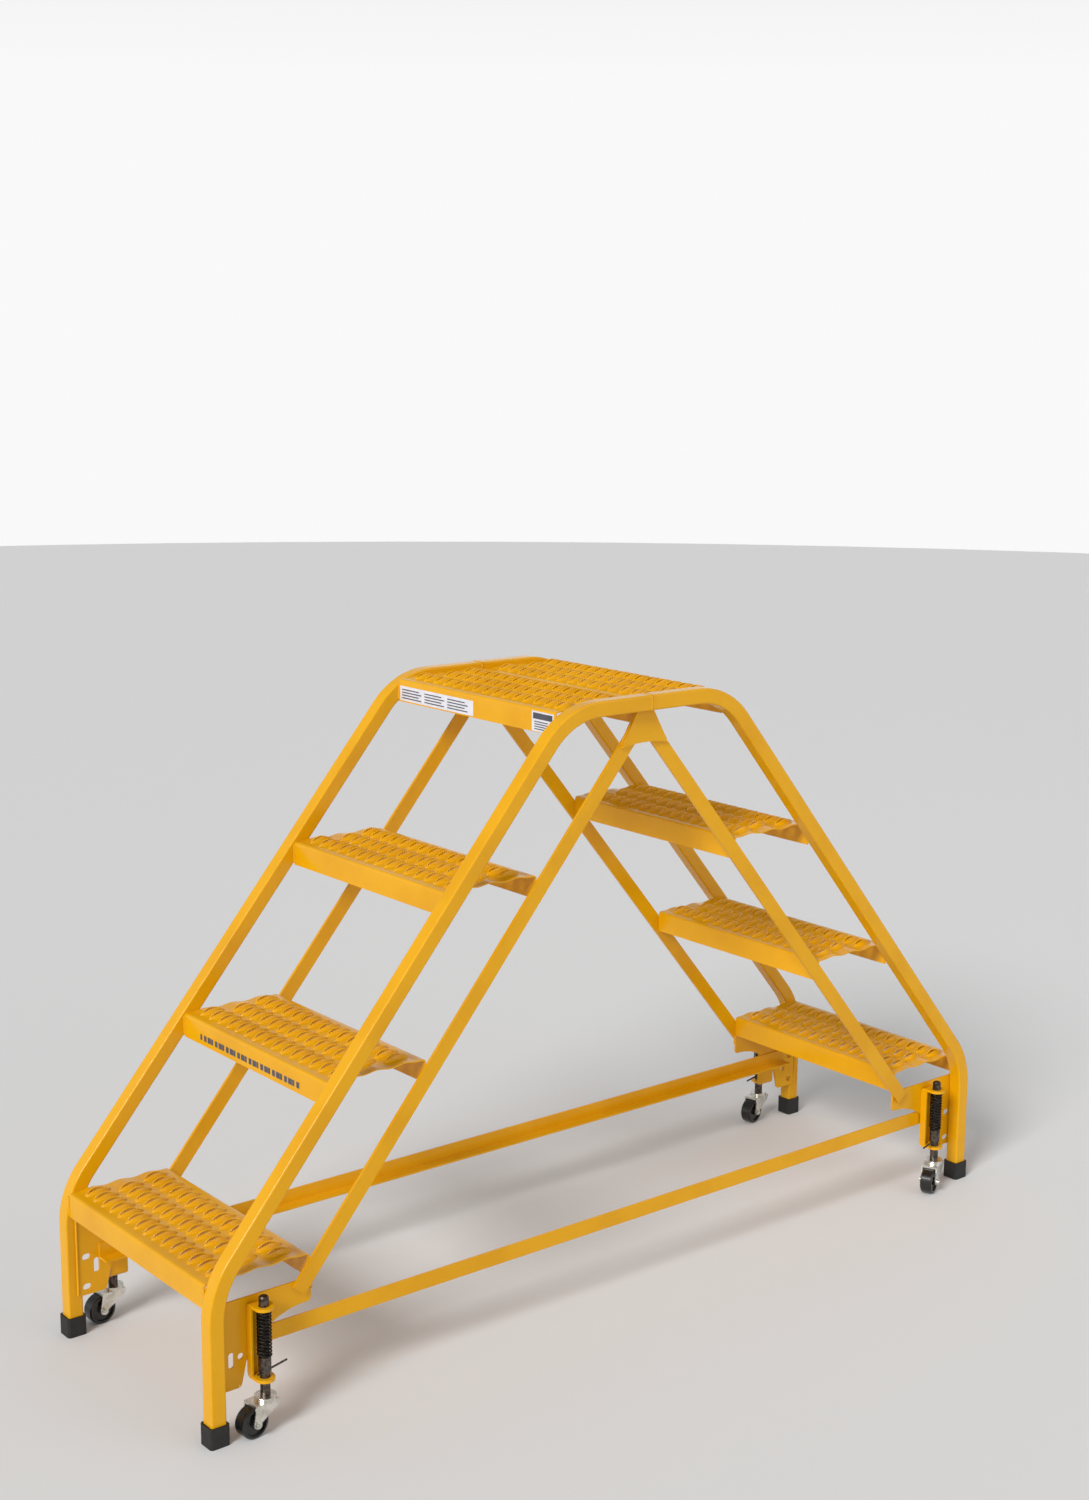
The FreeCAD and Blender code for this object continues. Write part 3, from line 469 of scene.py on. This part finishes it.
def weldPaths():
    # every bead as a list of points: flange corners, plate laps, gussets and the joint in the top rail
    paths = []
    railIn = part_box("rail_left_front")[1].y  # inner face of the front rails, below zero
    for node in plankNodes:
        low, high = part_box(node)
        front = low.x if "left" in node else high.x
        for y in (railIn, -railIn):
            top = low.z + plank["flange"] - weld["highStop"]
            paths.append([(front, y, low.z + weld["lowStop"]), (front, y, top)])
    for corner in corners:
        low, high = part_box(f"caster_plate_{corner}")
        atLeg, atEnd = (low.x, high.x) if "left" in corner else (high.x, low.x)
        inner, outer = (low.y, high.y) if "rear" in corner else (high.y, low.y)
        stop = weld["highStop"]
        paths.append([(atLeg, inner, low.z + stop), (atLeg, inner, high.z - stop)])
        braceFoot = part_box(f"brace_{corner}")[0].z
        paths.append([(atEnd, outer, braceFoot + weld["braceStop"]), (atEnd, outer, high.z)])
    for row in rows:
        low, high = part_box(f"top_gusset_{row}")
        y = high.y if row == "front" else low.y
        narrow = (high.x - low.x) / 6
        wide = high.x - weld["gussetInset"]
        for side in (-1, 1):
            paths.append([(side * wide, y, low.z + weld["highStop"]),
                          (side * narrow, y, high.z - 2 * weld["gussetInset"])])
        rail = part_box(f"rail_left_{row}")
        tube = abs(rail[1].y - rail[0].y)
        inset = weld["railInset"]
        ys, top = (rail[0].y + inset, rail[1].y - inset), rail[1].z
        ring = [(0, ys[0], top - inset), (0, ys[1], top - inset), (0, ys[1], top - tube + inset),
                (0, ys[0], top - tube + inset), (0, ys[0], top - inset)]
        paths.append(ring)
    return paths


def makeWelds():
    mesh = bpy.data.meshes.new("weldLines")
    points, edges = [], []
    for path in weldPaths():
        first = len(points)
        points += path
        edges += [(first + i, first + i + 1) for i in range(len(path) - 1)]
    mesh.from_pydata(points, edges, [])
    host = newObject("weldLines", mesh)
    beads = runTree(host, makeWeldTree(), weldSizes, "weldBeads")
    bpy.data.objects.remove(host)
    smoothByAngle(beads, 60)
    made = newObject("weldBeads", beads)
    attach(made, "frame")
    print("welds made:", len(beads.polygons), "faces")


makeWelds()


# springs
spring = {"wire": 0.0028, "turns": 13.0, "wireSides": 10}
springSizes = {"Turns": spring["turns"], "Outer": 0.0226, "Wire": spring["wire"], "Length": 0.0684}


def makeSpringTree():
    tree, ins, outs = newSizeTree("coilSpring", springSizes)
    wire = ins.outputs["Wire"]
    halfWire = mathOf(tree, "MULTIPLY", wire, 0.5)
    radius = mathOf(tree, "MULTIPLY", mathOf(tree, "SUBTRACT", ins.outputs["Outer"], wire), 0.5)
    rise = mathOf(tree, "SUBTRACT", ins.outputs["Length"], wire)
    coil = addNode(tree, "GeometryNodeCurveSpiral", {
        "Rotations": ins.outputs["Turns"], "Start Radius": radius, "End Radius": radius, "Height": rise},
        {"Resolution": 28})
    lift = addNode(tree, "ShaderNodeCombineXYZ", {"Z": halfWire})
    raised = addNode(tree, "GeometryNodeSetPosition", {
        "Geometry": coil.outputs[0], "Offset": lift.outputs[0]})
    ring = addNode(tree, "GeometryNodeCurvePrimitiveCircle", {"Radius": halfWire},
                   {"Resolution": spring["wireSides"]})
    tube = addNode(tree, "GeometryNodeCurveToMesh", {
        "Curve": raised.outputs[0], "Profile Curve": ring.outputs[0]}, {"Fill Caps": True})
    real = addNode(tree, "GeometryNodeRealizeInstances", {"Geometry": tube.outputs[0]})
    setFinish(tree, outs, real, springSteel)
    return tree


springTree = makeSpringTree()
for corner in corners:
    low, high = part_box(f"stem_spring_{corner}")
    host = newObject("springHost", bpy.data.meshes.new("springHost"))
    mesh = runTree(host, springTree, {**springSizes, "Length": high.z - low.z}, f"spring_{corner}")
    bpy.data.objects.remove(host)
    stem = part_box(f"caster_stem_{corner}")
    middle = (stem[0] + stem[1]) / 2
    mesh.transform(Matrix.Translation((middle.x, middle.y, low.z)))
    smoothByAngle(mesh, 50)
    made = newObject(f"spring_{corner}", mesh)
    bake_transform(made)
    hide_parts(f"stem_spring_{corner}")
print("springs made")


# labels: blank film with plain bars where a printed one has words
label = {"lift": 0.00025, "longColumns": 3, "longLines": 4, "smallLines": 4, "stripeDashes": 26}


def barBlocks(node):
    # places of the printed bars as shares of the label's width and height
    if node == "label_platform_long":
        width = 0.94 / label["longColumns"]
        return [(0.03 + column * width, 0.16 + line * 0.19, width * (0.86 - 0.12 * (line % 2)), 0.075)
                for column in range(label["longColumns"]) for line in range(label["longLines"])]
    if node == "label_platform_small":
        lines = [(0.12, 0.1 + line * 0.12, 0.76 - 0.14 * (line % 2), 0.05)
                 for line in range(label["smallLines"])]
        return lines + [(0.06, 0.62, 0.88, 0.3)]
    step = 1.0 / label["stripeDashes"]
    return [(step * (n + 0.1), 0.22, step * (0.5 + 0.2 * (n % 3)), 0.56)
            for n in range(label["stripeDashes"])]


def makeBars(node):
    low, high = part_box(node)
    wide, tall = high.y - low.y, high.z - low.z
    bm = bmesh.new()
    for left, base, width, height in barBlocks(node):
        block = bmesh.ops.create_cube(bm, size=1.0)["verts"]
        centre = Vector((low.x - label["lift"] / 2 + 0.00002,
                         high.y - wide * (left + width / 2), low.z + tall * (base + height / 2)))
        size = Matrix.Diagonal((label["lift"], wide * width, tall * height, 1.0))
        bmesh.ops.transform(bm, matrix=Matrix.Translation(centre) @ size, verts=block)
    mesh = bpy.data.meshes.new(f"bars_{node}")
    bm.to_mesh(mesh)
    bm.free()
    mesh.materials.append(labelInk)
    made = newObject(f"bars_{node}", mesh)
    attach(made, "frame")


for node in ("label_platform_long", "label_platform_small", "label_tread_stripe"):
    makeBars(node)
nodes["label_tread_stripe"].data.materials[0] = powderCoat
print("labels made")


# floor, light and camera
studio = {
    "floor": "#DCDCDC",
    "floorRadius": 14.0,
    "keyPower": 2.45,  # a low sun, broad enough for soft shadows
    "keyAngle": 20.0,
    "fillPower": 38.0,
    "walls": 0.95,
    "ceiling": 0.35,
    "wallTop": 0.12,  # upward part of the direction at which the walls start to darken
    "ceilingEdge": 0.6,
}


def makeFloor():
    bm = bmesh.new()
    bmesh.ops.create_circle(bm, cap_ends=True, segments=96, radius=studio["floorRadius"])
    mesh = bpy.data.meshes.new("studioFloor")
    bm.to_mesh(mesh)
    bm.free()
    made, tree, shader = newFinish("paleFloor", 0.8)
    shader.inputs["Base Color"].default_value = hexToLinear(studio["floor"])
    mesh.materials.append(made)
    newObject("studioFloor", mesh)


def makeLight(name, kind, power, place, target=(0, 0, 0.5)):
    data = bpy.data.lights.new(name, kind)
    data.energy = power
    light = newObject(name, data)
    light.location = place
    light.rotation_euler = (Vector(target) - Vector(place)).to_track_quat("-Z", "Y").to_euler()
    return data


def makeWorld():
    # pale studio walls under a dimmer ceiling
    world = bpy.data.worlds.new("paleStudio")
    bpy.context.scene.world = world
    world.use_nodes = True
    tree = world.node_tree
    direction = addNode(tree, "ShaderNodeTexCoord").outputs["Generated"]
    upward = addNode(tree, "ShaderNodeSeparateXYZ", {"Vector": direction}).outputs["Z"]
    strength = addNode(tree, "ShaderNodeMapRange", {"Value": upward}, {
        "From Min": studio["wallTop"], "From Max": studio["ceilingEdge"],
        "To Min": studio["walls"], "To Max": studio["ceiling"]})
    surround = tree.nodes["Background"]
    surround.inputs["Color"].default_value = (1.0, 1.0, 1.0, 1.0)
    tree.links.new(strength.outputs["Result"], surround.inputs["Strength"])


makeFloor()
makeWorld()
keyLight = makeLight("keyLight", "SUN", studio["keyPower"], (-4.6, -1.7, 3.9))
keyLight.angle = math.radians(studio["keyAngle"])
makeLight("fillLight", "AREA", studio["fillPower"], (2.0, -5.0, 2.6)).size = 4.0
bpy.context.scene.view_settings.view_transform = "Standard"

view = {
    "place": (-2.2112, -2.6799, 1.5491),
    "azimuth": -39.15,
    "elevation": 10.72,
    "roll": 0.40,
    "focal": 50.42,  # millimetres on a 36 mm frame height
}


def makeCamera():
    data = bpy.data.cameras.new("camera")
    data.lens, data.sensor_width = view["focal"], 36.0
    camera = newObject("camera", data)
    a, e, roll = (math.radians(view[k]) for k in ("azimuth", "elevation", "roll"))
    back = Vector((math.sin(a) * math.cos(e), -math.cos(a) * math.cos(e), math.sin(e)))
    right = Vector((math.cos(a), math.sin(a), 0))
    up = back.cross(right)
    turned = (right * math.cos(roll) + up * math.sin(roll),
              up * math.cos(roll) - right * math.sin(roll), back)
    camera.matrix_world = Matrix.Translation(view["place"]) @ Matrix(turned).transposed().to_4x4()
    bpy.context.scene.camera = camera


makeCamera()
print("stage, lights and camera made")
